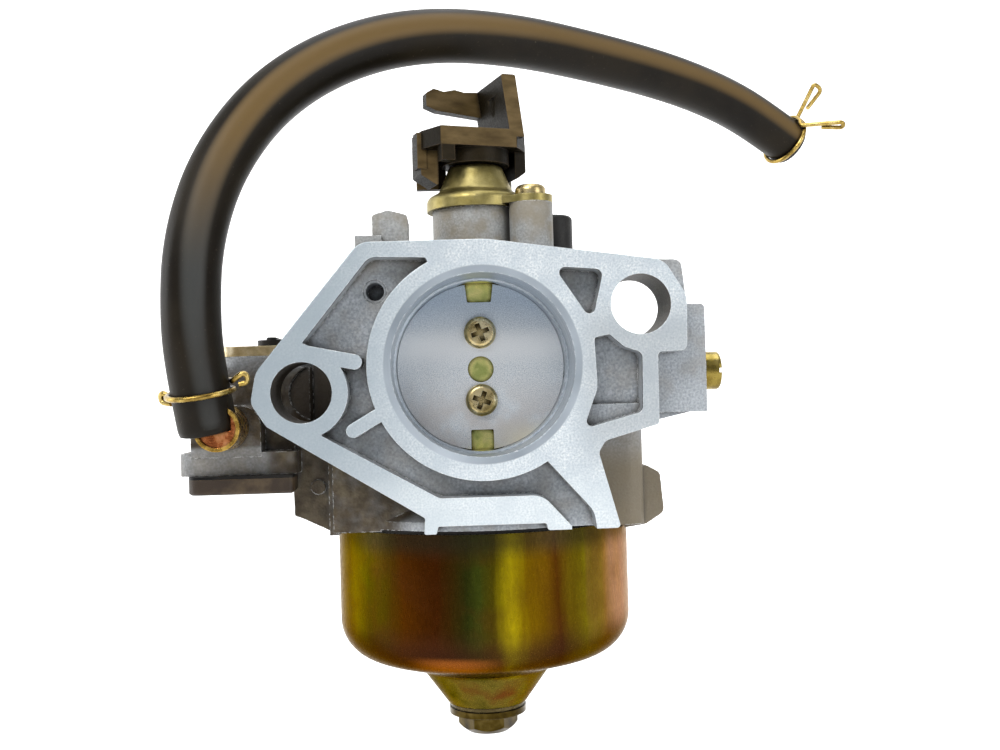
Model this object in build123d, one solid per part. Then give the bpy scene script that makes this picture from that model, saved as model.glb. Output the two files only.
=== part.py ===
from build123d import *
import os
from math import atan2, cos, degrees, pi, radians, sin, tan

# Float carburetor of a small engine, upright: +Z up, the bore runs along Y, and the origin is the
# centre of the bore on the machined engine-side flange, which faces -Y. Millimetres.

# ---- bore and casting -------------------------------------------------------------------------
ear_depth = 12.8            # thickness of the engine-side flange
body_depth = 62.0           # engine-side face to air-side face
register = 15.8             # radii along the bore, from the engine side
register_depth = 11.0
throttle_bore = 15.4
throat = 11.5
choke_bore = 15.0
inlet_mouth = 16.6
mouth_depth = 4.5
ring_radius = 19.9          # machined ring round the bore
barrel_radius = 19.2
pocket_depth = 5.0
left_stud = (-31.0, -4.0)   # stud holes, X and Z, 60 mm apart
right_stud = (27.4, 9.7)
stud_hole = 5.2
stud_lobe = 7.9
air_flange = 24.5
air_flange_depth = 8.0
air_screw = (-21.5, 17.0)   # tapped hole of the air-side flange; the other is opposite
air_screw_hole = 2.5
running_gap = 0.04          # radial gap of a turning fit
seat_gap = 0.02             # radial gap of pieces that are screwed or pressed together

# ---- throttle, on a vertical shaft ---------------------------------------------------------------
shaft_y = 16.5
shaft_radius = 4.0
shaft_low = -18.6
shaft_top = 43.1
plate_thick = 1.2
throttle_plate_radius = 15.3
plate_screw_z = 6.2         # plate screws above and below the bore axis
boss_radius = 8.1
boss_top = 28.6
cap_top = 36.7
cap_screw_at = (9.6, 9.6)
cap_post_top = 28.9
cap_lug = 1.3
jet_at = (14.9, 25.5)       # pilot jet, X and Y
jet_boss_top = 21.0
idle_x = 4.9
idle_z = 35.6
idle_tip_y = 23.6

# ---- choke, on a horizontal shaft -----------------------------------------------------------------
choke_y = 47.0
choke_shaft_radius = 3.0
choke_plate_radius = 14.8
choke_boss_end = 23.0

# ---- float bowl -------------------------------------------------------------------------------
bowl_y = 30.5
bowl_radius = 28.0
bowl_rim = -29.3
gasket_thick = 0.6
bowl_floor = -64.9
bowl_corner = -53.0         # where the wall turns in to the sloping floor
bowl_cone = -57.6           # where the floor turns down into the cone round the bolt
drain_z = -45.0
column_radius = 5.5
nozzle_bore = 2.5
float_pin_at = (-21.5, -35.0)
float_drop = 6.0            # degrees the float hangs below its shut position
needle_x = -15.5

# ---- fuel tap and inlet -----------------------------------------------------------------------
tap_at = (-40.5, 32.0)
tap_half = 8.5
tap_neck = 2.2
elbow_at = (-45.2, 2.2, -9.7)
elbow_radius = 3.9
ledge_z = (-18.2, -14.2)
cover_z = (-21.4, -18.7)
cover_screw_at = (-44.0, 32.5)
strainer_at = (-44.0, 19.0)

# ---- mixture screw ----------------------------------------------------------------------------
mixture_y = 15.5
mixture_z = -1.9
box_right = 39.7

# ---- fuel hose --------------------------------------------------------------------------------
hose_radius = 5.0
hose_bore = 2.75
wire_radius = 0.5
hose_route = [
    (-47.1, 2.2, -10.2),
    (-48.5, 0.6, -0.8),
    (-49.2, -0.5, 9.0),
    (-48.6, 0.2, 22.4),
    (-44.6, 3.0, 36.0),
    (-36.4, 8.0, 48.6),
    (-24.4, 14.0, 57.8),
    (-9.5, 20.0, 63.0),
    (8.0, 28.5, 64.4),
    (27.0, 40.0, 63.6),
    (43.8, 49.6, 61.8),
    (56.4, 56.6, 58.9),
    (66.2, 61.8, 54.9),
    (74.2, 65.8, 50.4),
]

STANDING = (Align.CENTER, Align.CENTER, Align.MIN)


# ---- shapes used throughout ---------------------------------------------------------------------
def across(y):
    """Plane square to the bore at depth y; its x is X and its y is Z."""
    return Plane(origin=(0, y, 0), x_dir=(1, 0, 0), z_dir=(0, -1, 0))


def slab(face, y_near, y_far):
    """A face drawn in X and Z, made solid from one depth to another."""
    return extrude(across(y_far) * face, y_far - y_near)


def layer(face, z_low, z_high):
    """A face drawn in X and Y, made solid from one height to another."""
    return Pos(0, 0, z_low) * extrude(face, z_high - z_low)


def outline(corners):
    """A face from corners given as (first, second, corner radius)."""
    points = [(a, b) for a, b, _ in corners]
    radii = [radius for _, _, radius in corners]
    return make_face(FilletPolyline(*points, radius=radii, close=True).edges())


def rod(x, z, radius, y_near, y_far):
    """Round bar along Y."""
    return slab(Pos(x, z) * Circle(radius), y_near, y_far)


def post(x, y, radius, z_low, z_high):
    """Round bar along Z."""
    return Pos(x, y, z_low) * Cylinder(radius, z_high - z_low, align=STANDING)


def bar(y, z, radius, x_left, x_right):
    """Round bar along X."""
    return Pos(x_left, y, z) * Rot(0, 90, 0) * Cylinder(radius, x_right - x_left, align=STANDING)


def block(x, y, z):
    """Box between pairs of low and high values."""
    size = Box(x[1] - x[0], y[1] - y[0], z[1] - z[0], align=(Align.MIN, Align.MIN, Align.MIN))
    return Pos(x[0], y[0], z[0]) * size


def turned(x, y, profile):
    """Solid of revolution about a vertical line, from (radius, z) pairs."""
    face = make_face(Polyline(*profile, close=True).edges())
    return Pos(x, y, 0) * revolve(Plane.XZ * face, Axis.Z)


def stadium(start, end, half_width):
    """Flat bar with round ends, from one point to another."""
    run = Vector(*end) - Vector(*start)
    middle = (Vector(*end) + Vector(*start)) * 0.5
    turn = degrees(atan2(run.Y, run.X))
    return Pos(middle.X, middle.Y) * Rot(0, 0, turn) * SlotCenterToCenter(run.length, 2 * half_width)


def coil_spring(turns, pitch, mean_radius, wire):
    """Compression spring along Z from the origin."""
    path = Helix(pitch, turns * pitch, mean_radius)
    section = Plane(origin=path @ 0, z_dir=path % 0) * Circle(wire)
    return sweep(section, path=path)


# ---- body casting -------------------------------------------------------------------------------
def flange_outline():
    return outline([
        (-20.6, 21.4, 3.5), (1.0, 21.5, 20.0), (31.6, 17.2, 3.5), (35.4, 11.0, 5.0),
        (35.2, 1.5, 1.2), (30.1, 1.4, 0.8), (30.0, -11.0, 0.8), (20.6, -13.6, 2.0),
        (19.4, -15.6, 1.2), (22.9, -28.6, 0.6), (10.3, -28.6, 0.5), (10.1, -27.4, 0.3),
        (-8.4, -27.4, 0.3), (-8.7, -28.7, 0.3), (-10.8, -28.7, 0.3), (-10.6, -25.9, 0.5),
        (-37.0, -9.6, 2.0), (-39.6, -5.6, 2.5), (-38.6, -0.4, 4.0),
    ])


def left_pocket():
    """Recess that runs from the upper left, round the left stud lobe and under the ring."""
    area = outline([
        (-9.4, 18.5, 0.6), (-19.0, 18.8, 2.5), (-30.6, 4.5, 0.9), (-33.0, -4.0, 0.0),
        (-27.6, -11.5, 0.0), (-8.0, -22.6, 2.0), (9.6, -22.6, 4.0), (14.4, -28.0, 0.0),
        (14.4, -30.0, 0.0), (18.9, -30.0, 0.0), (18.3, -25.6, 4.0), (10.2, -16.4, 0.0), (0.0, 0.0, 0.0),
    ])
    area -= Circle(ring_radius)
    area -= Pos(*left_stud) * Circle(stud_lobe)
    area -= stadium((-31.5, 3.0), (-21.9, 1.0), 1.3)
    area -= stadium((-17.0, -7.6), (-22.4, -10.7), 1.2)
    area -= outline([(-34.0, 0.0, 0.0), (-31.0, 4.6, 0.0), (-28.9, 3.6, 0.0), (-26.0, 0.0, 0.0)])
    return slab(area, -1.0, pocket_depth)


def right_pockets():
    upper = outline([(12.5, 16.5, 1.0), (21.1, 15.8, 1.2), (18.9, 6.8, 1.0)])
    lower = outline([
        (19.2, 4.1, 0.5), (21.8, 4.6, 0.6), (24.3, 2.4, 1.5), (27.4, 1.3, 1.2),
        (27.2, -8.8, 1.2), (16.9, -11.5, 0.9), (19.5, -4.5, 4.0),
    ])
    step = block((12, 30), (pocket_depth - 1.8, pocket_depth + 1), (-13.0, -7.4))
    return slab(upper, -1.0, pocket_depth) + (slab(lower, -1.0, pocket_depth) - step)


def bore_space():
    """Everything cut away along the bore: throttle bore, throat, choke bore and mouth."""
    profile = [
        (0.0, -1.0), (register, -1.0), (register, register_depth), (throttle_bore, register_depth + 0.1),
        (throttle_bore, 24.0), (throat + 1.2, 27.0), (throat, 29.0), (throat, 32.5),
        (choke_bore, 40.0), (choke_bore, body_depth - mouth_depth - 1.5),
        (inlet_mouth, body_depth - mouth_depth), (inlet_mouth, body_depth + 1), (0.0, body_depth + 1),
    ]
    face = make_face(Polyline(*profile, close=True).edges())
    return revolve(Plane.XY * face, Axis.Y)


def air_side_flange():
    disc = Circle(air_flange)
    for side in (1, -1):
        at = (side * air_screw[0], side * air_screw[1])
        disc += stadium((0, 0), at, 6.0)
    return slab(disc, body_depth - air_flange_depth, body_depth)


def top_features():
    """Throttle boss, cap screw post, pilot jet boss, idle stop post and the cast pillar."""
    pillar = outline([
        (-18.6, 17.0, 0.0), (-18.6, 26.7, 0.6), (-15.8, 27.5, 0.6), (-12.4, 26.6, 0.8), (-12.4, 17.0, 0.0),
    ])
    parts = post(*cap_screw_at, 3.9, 16.0, cap_post_top) - post(0, shaft_y, 9.3, boss_top, 40.0)
    parts += post(0, shaft_y, boss_radius, 8.0, boss_top)
    parts += post(*jet_at, 4.6, 6.0, jet_boss_top)
    parts += block((2.6, 7.3), (27.0, 31.0), (12.0, 38.0))
    parts += slab(pillar, 5.0, 13.5)
    parts += block((-21.6, -17.0), (4.0, 13.0), (14.0, 23.0))
    return parts


def right_features():
    """Ear behind the right stud hole, mixture screw box, side column and lower lug."""
    ear = outline([
        (24.0, 12.0, 0.0), (26.0, 17.8, 0.0), (35.2, 17.6, 1.4), (35.8, 12.0, 0.5), (35.7, 5.0, 0.0),
        (24.0, 5.0, 0.0),
    ])
    box_front = outline([(24, -9.2, 0), (24, 9.9, 0), (box_right, 9.9, 0.8), (box_right, -9.2, 1.0)])
    gusset = outline([(24.0, -8.0, 0), (box_right - 1.0, -8.8, 0), (24.0, -12.0, 0)])
    column = outline([(4, 16, 0), (30, 16, 3.5), (30, 42, 6), (4, 42, 0)])
    lug = outline([
        (22.0, -19.4, 0.0), (31.0, -19.4, 1.5), (33.4, -20.8, 1.2), (34.0, -28.2, 1.5),
        (30.5, -30.4, 2.0), (22.0, -31.6, 0.0),
    ])
    parts = slab(ear, 3.5, ear_depth)
    parts += slab(box_front, 6.0, ear_depth)
    parts += block((14, box_right), (6.0, 23.0), (-9.2, 1.8))
    parts += slab(gusset, 7.0, 21.0)
    parts += layer(column, -30.0, -7.0)
    parts += slab(lug, 20.0, 36.0)
    return parts


def left_features():
    """Fuel passage arm, ledge, inlet boss, tap housing, rib and cast dot."""
    arm = outline([
        (-35.0, -12.4, 1.0), (-14.0, -12.4, 0.0), (-14.0, -29.6, 0.0), (-27.0, -29.6, 0.4),
        (-33.2, -26.6, 0.8), (-34.4, -26.2, 0.4), (-34.6, -18.0, 0.0),
    ])
    ledge = outline([
        (-53.8, 8.6, 2.0), (-33.2, 8.6, 1.0), (-33.0, 14.0, 0.0), (-33.0, 39.0, 2.0), (-53.8, 39.0, 6.0),
    ])
    parts = slab(arm, 14.0, 38.0)
    parts += layer(ledge, *ledge_z)
    inlet_boss = outline([(-51.6, -15, 0), (-51.6, -6.0, 3.5), (-39.3, -6.0, 3.4), (-39.3, -15, 0)])
    parts += slab(inlet_boss, 8.5, 30.0)
    housing = RectangleRounded(2 * tap_half, 2 * tap_half, 1.5)
    parts += Pos(*tap_at, ledge_z[0]) * extrude(housing, 1.0 - ledge_z[0])
    parts += block((-40.5, -19.0), (26.0, 38.0), (-16.0, 3.0))
    parts += block((-40.0, -34.0), (13.5, 30.0), (-15.0, -9.7))
    parts += slab(outline([(-27.0, -12.4, 0), (-12.0, -12.4, 0), (-9.0, -29.0, 0), (-27.0, -29.0, 0)]), 9.0, 20.0)
    parts += Pos(*tap_at, 0.4) * extrude(RectangleRounded(2 * tap_half, 2 * tap_half, 3.0), 2.9)
    parts += block((-27.9, -26.2), (11.0, 16.0), (-29.6, -15.0))
    parts += rod(-30.0, -21.1, 1.3, 13.3, 14.5)
    return parts


def bowl_seat():
    """Round seat of the float bowl, its rounded roof and the nozzle column."""
    seat = bowl_rim + gasket_thick
    roof = turned(0, bowl_y, [(0, seat), (27.9, seat), (27.9, -27.2), (24.0, -24.4), (15.0, -14.0), (0, -10.0)])
    chamber = post(0, bowl_y, 25.2, seat - 1.0, -27.2)
    column = post(0, bowl_y, column_radius, bowl_floor + 1.0, -26.5)
    column += post(needle_x, bowl_y, 4.0, -31.0, -26.5)
    x, z = float_pin_at
    ears = block((x - 1.8, x + 1.8), (bowl_y - 9.0, bowl_y - 6.4), (z - 1.8, -26.5))
    ears += block((x - 1.8, x + 1.8), (bowl_y + 6.4, bowl_y + 9.0), (z - 1.8, -26.5))
    pin_hole = rod(x, z, 1.0 + seat_gap, bowl_y - 10, bowl_y + 10)
    return roof - chamber + column + (ears - pin_hole)


def tap_screws():
    """Places of the two screws of the tap plate, on its side next to the body."""
    return [(tap_at[0] + 6.3, tap_at[1] + side * 6.3) for side in (-1, 1)]


def body_cuts():
    """Holes and bores of the casting."""
    cuts = bore_space()
    cuts += rod(*left_stud, stud_hole, -1, 24.0)
    cuts += rod(*right_stud, stud_hole, -1, 24.0)
    for side in (1, -1):
        at = (side * air_screw[0], side * air_screw[1])
        cuts += rod(*at, air_screw_hole, body_depth - air_flange_depth - 1, body_depth + 1)
    cuts += post(0, shaft_y, shaft_radius + running_gap, shaft_low - 0.2, boss_top + 1)
    cuts += post(*cap_screw_at, 1.5 + seat_gap, 20.0, 31.0)
    cuts += post(*jet_at, 2.0 + seat_gap, 9.5, 30.0) + post(*jet_at, 3.3 + seat_gap, 17.0, 30.0)
    cuts += rod(idle_x, idle_z, 1.5 + running_gap, 20.0, 40.0)
    cuts += bar(choke_y, 0, choke_shaft_radius + running_gap, -20.6, 40.0)
    cuts += bar(mixture_y, mixture_z, 2.0 + running_gap, 19.5, 50.0)
    cuts += bar(mixture_y, mixture_z, 0.8, 12.0, 50.0)
    cuts += post(0, bowl_y, nozzle_bore + seat_gap, -55.0, 0.0)
    cuts += post(0, bowl_y, 3.0 + seat_gap, -70.0, -55.0)
    cuts += bar(bowl_y, -56.0, 0.9, -10.0, 0.0)
    cuts += post(needle_x, bowl_y, 2.4 + seat_gap, -34.0, -26.4)
    cuts += post(needle_x, bowl_y, 1.2, -27.0, -16.0)
    cuts += bar(bowl_y, -16.2, 1.2, -40.5, needle_x)
    cuts += rod(elbow_at[0], elbow_at[2], 2.6 + seat_gap, 5.0, 16.0)
    cuts += rod(elbow_at[0], elbow_at[2], 1.5, 15.0, 20.0)
    cuts += post(*strainer_at, 1.4, ledge_z[0] + 2.0, elbow_at[2])
    cuts += post(*tap_at, 6.0 + running_gap, -4.0, 10.0)
    cuts += post(*tap_at, 1.6, -17.0, -3.0)
    for x, y in tap_screws():
        cuts += post(x, y, 1.25 + seat_gap, -3.0, 5.0)
    cuts += post(*cover_screw_at, 1.5 + seat_gap, -19.0, -14.9)
    cuts += post(*strainer_at, 5.0, ledge_z[0] - 1, ledge_z[0] + 3.0)
    cuts += rod(-18.4, 13.3, 1.6, 0.0, 11.5) + rod(-18.4, 13.3, 2.1, 0.0, pocket_depth + 0.3)
    return cuts


def body_casting():
    casting = slab(flange_outline(), 0, ear_depth)
    casting += rod(0, 0, barrel_radius, ear_depth - 1, body_depth - 1)
    casting += air_side_flange()
    casting += bar(choke_y, 0, 6.0, -choke_boss_end, choke_boss_end)
    casting += top_features()
    casting += right_features()
    casting += left_features()
    casting -= post(0, bowl_y, bowl_radius + 0.4, -40.0, bowl_rim + gasket_thick)
    casting += bowl_seat()
    casting -= left_pocket() + right_pockets()
    return casting - body_cuts()


# ---- throttle ---------------------------------------------------------------------------------
def throttle_shaft():
    """Vertical shaft, halved where the plate lies against it."""
    shaft = post(0, shaft_y, shaft_radius, shaft_low, shaft_top)
    shaft -= block((-6, 6), (0, shaft_y), (-throttle_bore, throttle_bore))
    for side in (1, -1):
        shaft -= rod(0, side * plate_screw_z, 1.5 + seat_gap, 10, 30)
    return shaft


def throttle_plate():
    """Flat disc with a centre hole and a notch at its top and bottom."""
    disc = Circle(throttle_plate_radius)
    disc -= Pos(0, -0.5) * Circle(2.4)
    disc -= outline([(-2.7, 16, 0), (2.7, 16, 0), (2.2, 11.8, 0.3), (-2.2, 11.8, 0.3)])
    disc -= outline([(-2.1, -16, 0), (2.1, -16, 0), (2.1, -11.6, 0.3), (-2.1, -11.6, 0.3)])
    plate = slab(disc, shaft_y - plate_thick, shaft_y)
    for side in (1, -1):
        plate -= rod(0, side * plate_screw_z, 1.5 + seat_gap, 10, 20)
    return plate


def pan_screw(radius, height, shank, length):
    """Cross-recess pan screw standing on z = 0, its shank pointing down."""
    head = Cylinder(radius, height, align=STANDING)
    head = fillet(head.edges().sort_by(Axis.Z)[-1], height * 0.55)
    wide, narrow, deep = radius * 1.15, radius * 0.3, height * 0.65
    for size in ((wide, narrow), (narrow, wide)):
        head -= Pos(0, 0, height - deep) * Box(*size, height, align=STANDING)
    return head + Pos(0, 0, -length) * Cylinder(shank, length + 0.1, align=STANDING)


def throttle_plate_screws():
    """Two screws that hold the plate against the flat of the shaft."""
    screws = []
    for side in (1, -1):
        place = Pos(0, shaft_y - plate_thick, side * plate_screw_z) * Rot(90, 0, 0) * Rot(0, 0, 20 * side)
        screws.append(place * pan_screw(2.95, 1.7, 1.5, 4.9))
    return Compound(children=screws)


def throttle_cap():
    """Pressed cap over the shaft seal, with a lug under the cap screw."""
    wall = outline([
        (7.4, boss_top, 0), (9.1, boss_top, 0), (9.1, 30.9, 1.4), (6.9, 32.1, 1.0), (6.2, 33.6, 3.0),
        (4.9, cap_top, 0), (4.2, cap_top, 0), (5.3, 33.4, 0.5), (6.0, 31.7, 0.3), (7.4, 30.8, 0.3),
    ])
    shell = Pos(0, shaft_y, 0) * revolve(Plane.XZ * wall, Axis.Z)
    arm = stadium((0, shaft_y), cap_screw_at, 3.9) - Pos(0, shaft_y) * Circle(8.4)
    lug = layer(arm, cap_post_top, cap_post_top + cap_lug)
    return shell + lug - post(*cap_screw_at, 1.6, 20, 40)


def cap_screw():
    return Pos(*cap_screw_at, cap_post_top + cap_lug) * pan_screw(2.75, 2.0, 1.5, 9.0)


def shaft_seal():
    return turned(0, shaft_y, [
        (shaft_radius + running_gap, boss_top), (7.2, boss_top), (7.2, 30.4), (6.0, 31.4),
        (shaft_radius + running_gap, 31.4),
    ])


def throttle_lever():
    """Plastic lever: hub, yoke with side skirts, upright wall and the arm above the slot."""
    yoke = layer(outline([
        (-8.5, -6.5, 0.4), (5.9, -6.5, 0.4), (9.1, -2.4, 0.6), (9.1, 6.0, 1.5), (3.0, 9.5, 1.0),
        (-6.0, 9.5, 2.0), (-10.6, 5.0, 0.5), (-10.6, -1.0, 0.5),
    ]), 39.6, 42.9)
    lever = yoke + block((-11.4, -9.6), (-1.0, 1.4), (36.1, 42.6))
    lever += slab(outline([(-10.7, 41, 0), (-10.7, 35.0, 0.4), (-7.4, 33.1, 0.3), (-7.4, 41, 0)]), -0.8, 4.6)
    lever += block((-8.5, -6.0), (-6.5, -4.4), (36.8, 40.0))
    lever += slab(outline([(7.0, 41, 0), (7.0, 34.4, 0.3), (9.1, 35.9, 0.4), (9.1, 41, 0)]), -2.4, 4.2)
    lever += slab(outline([(4.7, 41.6, 0), (7.4, 41.6, 0), (5.9, 52.9, 0.4), (3.1, 52.9, 0.4)]), -6.5, 8.8)
    arm = outline([
        (4.6, 47.7, 0), (-5.0, 48.7, 0.6), (-7.1, 49.5, 0.3), (-7.1, 52.0, 0.4), (-5.6, 52.9, 0.5),
        (-3.6, 52.4, 0.8), (-1.4, 52.9, 0.8), (0.4, 52.5, 0.8), (4.2, 52.7, 0),
    ])
    lever += slab(arm, 6.4, 8.8)
    lever += Pos(0, 0, cap_top + 0.2) * Cylinder(6.3, 3.2, align=STANDING)
    lever = Pos(0, shaft_y, 0) * Rot(0, 0, 18) * lever
    lever += block((3.3, 6.6), (idle_tip_y - 1.7, idle_tip_y - 0.05), (34.2, 40.0))
    lever += block((-11.0, -5.4), (20.0, 22.0), (33.6, 40.0))
    return lever - post(0, shaft_y, shaft_radius + seat_gap, 30, 50)


# ---- idle stop and pilot jet ----------------------------------------------------------------------
def idle_screw():
    tip = rod(idle_x, idle_z, 1.5, idle_tip_y + 0.6, 41.0)
    return tip + rod(idle_x, idle_z, 1.0, idle_tip_y, idle_tip_y + 0.8)


def idle_screw_knob():
    """Fluted plastic head of the idle stop screw."""
    face = Pos(idle_x, idle_z) * Circle(3.0)
    for i in range(12):
        turn = radians(30 * i)
        face -= Pos(idle_x + 3.1 * cos(turn), idle_z + 3.1 * sin(turn)) * Circle(0.35)
    knob = slab(face, 36.2, 42.0) - rod(idle_x, idle_z, 1.5 + seat_gap, 30.0, 41.0)
    return knob - block((idle_x - 4, idle_x + 4), (41.3, 43.0), (idle_z - 0.5, idle_z + 0.5))


def idle_spring():
    turns = 4
    wire = 0.35
    pitch = (5.2 - 2 * wire - 0.1) / turns
    spring = coil_spring(turns, pitch, 2.1, wire)
    return Pos(idle_x, 31.0 + wire + 0.05, idle_z) * Rot(-90, 0, 0) * spring


def pilot_jet():
    """Plastic-headed pilot jet, pushed down into its boss."""
    head = post(*jet_at, 3.8, jet_boss_top, 28.8)
    head = fillet(head.edges().sort_by(Axis.Z)[-1], 0.9)
    stem = post(*jet_at, 3.3, 17.05, jet_boss_top) + post(*jet_at, 2.0, 10.0, 17.1)
    return head + stem - post(*jet_at, 0.6, 9.0, 15.0)


def mixture_screw():
    """Brass screw with a plain round head, slotted on its end."""
    head = bar(mixture_y, mixture_z, 3.5, box_right, box_right + 4.4)
    head = fillet(head.edges().sort_by(Axis.X)[-1], 0.6)
    head -= block((box_right + 3.8, box_right + 6.0), (mixture_y - 4, mixture_y + 4), (mixture_z - 0.4, mixture_z + 0.4))
    return head + bar(mixture_y, mixture_z, 2.0, 24.0, box_right) + bar(mixture_y, mixture_z, 0.7, 20.5, 24.1)


# ---- choke ------------------------------------------------------------------------------------
def choke_shaft():
    shaft = bar(choke_y, 0, choke_shaft_radius, -20.4, 27.0)
    shaft -= block((-choke_bore, choke_bore), (choke_y, 60), (-5, 5))
    for side in (1, -1):
        shaft -= rod(side * 6.0, 0, 1.25 + seat_gap, 40, 60)
    return shaft


def choke_plate():
    disc = Circle(choke_plate_radius) - Pos(0, -9.5) * Circle(1.6)
    for side in (1, -1):
        disc -= Pos(side * 6.0, 0) * Circle(1.25 + seat_gap)
    return slab(disc, choke_y, choke_y + 1.0)


def choke_plate_screws():
    screws = []
    for side in (1, -1):
        place = Pos(side * 6.0, choke_y + 1.0, 0) * Rot(-90, 0, 0)
        screws.append(place * pan_screw(2.4, 1.5, 1.25, 3.6))
    return Compound(children=screws)


def choke_lever():
    """Pressed steel lever on the right end of the choke shaft, its arm bent outwards at the tip."""
    arm = stadium((choke_y, 0), (choke_y + 1.0, 17.0), 3.6) + Pos(choke_y, 0) * Circle(5.2)
    arm -= Pos(choke_y + 0.9, 14.8) * Circle(1.4)
    lever = extrude(Plane.YZ.offset(23.2) * arm, 1.6)
    lever += block((23.2, 29.5), (choke_y - 2.4, choke_y + 4.2), (18.6, 20.2))
    return lever - bar(choke_y, 0, choke_shaft_radius + seat_gap, 20, 30)


def choke_clip():
    """Retaining ring pressed on the shaft outside the lever."""
    ring = bar(choke_y, 0, 4.4, 24.9, 25.7)
    return ring - bar(choke_y, 0, choke_shaft_radius + seat_gap, 20, 30)


# ---- jets, float and bowl -------------------------------------------------------------------------
def main_jet():
    jet = post(0, bowl_y, nozzle_bore, -54.9, -51.0) - post(0, bowl_y, 0.5, -56, -50)
    return jet - block((-3, 3), (bowl_y - 0.4, bowl_y + 0.4), (-55.0, -54.0))


def main_nozzle():
    """Emulsion tube that ends in the throat, with rings of air holes."""
    tube = post(0, bowl_y, nozzle_bore, -50.9, -8.6) - post(0, bowl_y, 1.2, -51, -8)
    for level in range(5):
        tube -= rod(0, -46.0 + 5.0 * level, 0.4, bowl_y - 4, bowl_y + 4)
    return tube


def dropped(shape):
    """Turn a piece from its shut place to where the float hangs, about the float pin."""
    x, z = float_pin_at
    return Pos(x, 0, z) * Rot(0, float_drop, 0) * Pos(-x, 0, -z) * shape


def float_ring():
    """Hollow plastic float with its hinge arm and the tab that lifts the needle."""
    ring = turned(0, bowl_y, [(8.5, -46.5), (21.5, -46.5), (23.5, -44.5), (23.5, -39), (22.5, -38), (8.5, -38)])
    x, z = float_pin_at
    arm = block((x - 2.2, x + 2.2), (bowl_y - 6.1, bowl_y + 6.1), (-38.2, z + 1.6))
    arm -= block((x - 2.5, x + 1.0), (bowl_y - 3.5, bowl_y + 3.5), (-37.8, z + 2))
    tab = block((x + 1.5, needle_x + 2.5), (bowl_y - 2.6, bowl_y + 2.6), (-37.6, -36.6))
    link = block((x, x + 4.0), (bowl_y - 2.6, bowl_y + 2.6), (-38.2, -36.6))
    shape = ring + arm + tab + link - rod(x, z, 1.0 + running_gap, 0, 60)
    return dropped(shape)


def float_pin():
    x, z = float_pin_at
    return rod(x, z, 1.0, bowl_y - 9.4, bowl_y + 9.4)


def needle_lift():
    """How far the needle hangs below its seat when the float is down."""
    return (needle_x - float_pin_at[0]) * tan(radians(float_drop))


def float_needle():
    needle = turned(needle_x, bowl_y, [(0, -36.3), (1.6, -36.3), (1.6, -29.6), (0.5, -28.3), (0, -28.3)])
    return Pos(0, 0, -needle_lift() - 0.05) * needle


def needle_seat():
    return turned(needle_x, bowl_y, [
        (1.6 + running_gap, -32.0), (2.4, -32.0), (2.4, -26.5), (0.8, -26.5), (0.8, -28.0),
        (1.6 + running_gap, -29.4),
    ])


def bowl_gasket():
    ring = Circle(27.7) - Circle(25.6)
    return layer(Pos(0, bowl_y) * ring, bowl_rim, bowl_rim + gasket_thick)


def float_bowl():
    """Deep-drawn steel bowl with a drain boss at the back."""
    inner_floor = bowl_floor + 1.0
    wall = outline([
        (bowl_radius - 1.0, bowl_rim, 0), (bowl_radius - 1.0, bowl_corner + 0.9, 6.6), (12.3, bowl_cone + 0.9, 2.0),
        (7.0, inner_floor, 0.3), (3.3, inner_floor, 0), (3.3, bowl_floor, 0), (7.6, bowl_floor, 0.5),
        (12.9, bowl_cone, 2.5), (bowl_radius, bowl_corner, 7.5), (bowl_radius, bowl_rim, 0),
    ])
    bowl = Pos(0, bowl_y, 0) * revolve(Plane.XZ * wall, Axis.Z)
    boss = rod(0, drain_z, 5.0, bowl_y + 27.5, bowl_y + 31.0)
    return bowl + boss - rod(0, drain_z, 2.5 + seat_gap, bowl_y + 20, bowl_y + 40)


def hexagon(across_flats):
    return RegularPolygon(across_flats / 2, 6, major_radius=False)


def drain_screw():
    head = Pos(0, bowl_y + 32.0, drain_z) * Rot(-90, 0, 0) * extrude(hexagon(8), 3.5)
    return head + rod(0, drain_z, 2.5, bowl_y + 26.0, bowl_y + 32.1)


def drain_washer():
    ring = rod(0, drain_z, 4.6, bowl_y + 31.0, bowl_y + 32.0)
    return ring - rod(0, drain_z, 2.5 + running_gap, bowl_y + 30, bowl_y + 33)


def bowl_bolt():
    """Flanged hexagon bolt that holds the bowl up against the casting."""
    flange_low = bowl_floor - 2.0
    foot = flange_low - 3.6
    bolt = post(0, bowl_y, 7.5, flange_low, bowl_floor - 0.8) + post(0, bowl_y, 3.0, flange_low, -57.0)
    head = Pos(0, bowl_y, foot) * extrude(hexagon(10), 3.7)
    crown = turned(0, bowl_y, [(0, foot), (4.2, foot), (5.9, foot + 1.4), (5.9, flange_low + 0.2), (0, flange_low + 0.2)])
    return bolt + (head & crown)


def bowl_bolt_washer():
    ring = post(0, bowl_y, 7.2, bowl_floor - 0.8, bowl_floor)
    return ring - post(0, bowl_y, 3.0 + seat_gap, -70, -60)


# ---- fuel tap ---------------------------------------------------------------------------------
def tap_packing():
    """Rubber packing with its flow holes."""
    disc = post(*tap_at, 6.0, -4.0, -2.6)
    disc -= post(*tap_at, 1.6, -5, 0)
    for i in range(3):
        turn = radians(60 + 120 * i)
        disc -= post(tap_at[0] + 3.8 * cos(turn), tap_at[1] + 3.8 * sin(turn), 1.1, -5, 0)
    return disc


def tap_spindle():
    return post(*tap_at, 5.9, -2.55, 0.2) + post(*tap_at, tap_neck, 0.1, 5.4)


def tap_spring():
    wire = 0.4
    turns = 2
    pitch = (4.2 - 0.2 - 2 * wire - 0.1) / turns
    return Pos(*tap_at, 0.25 + wire) * coil_spring(turns, pitch, 4.6, wire)


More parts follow.
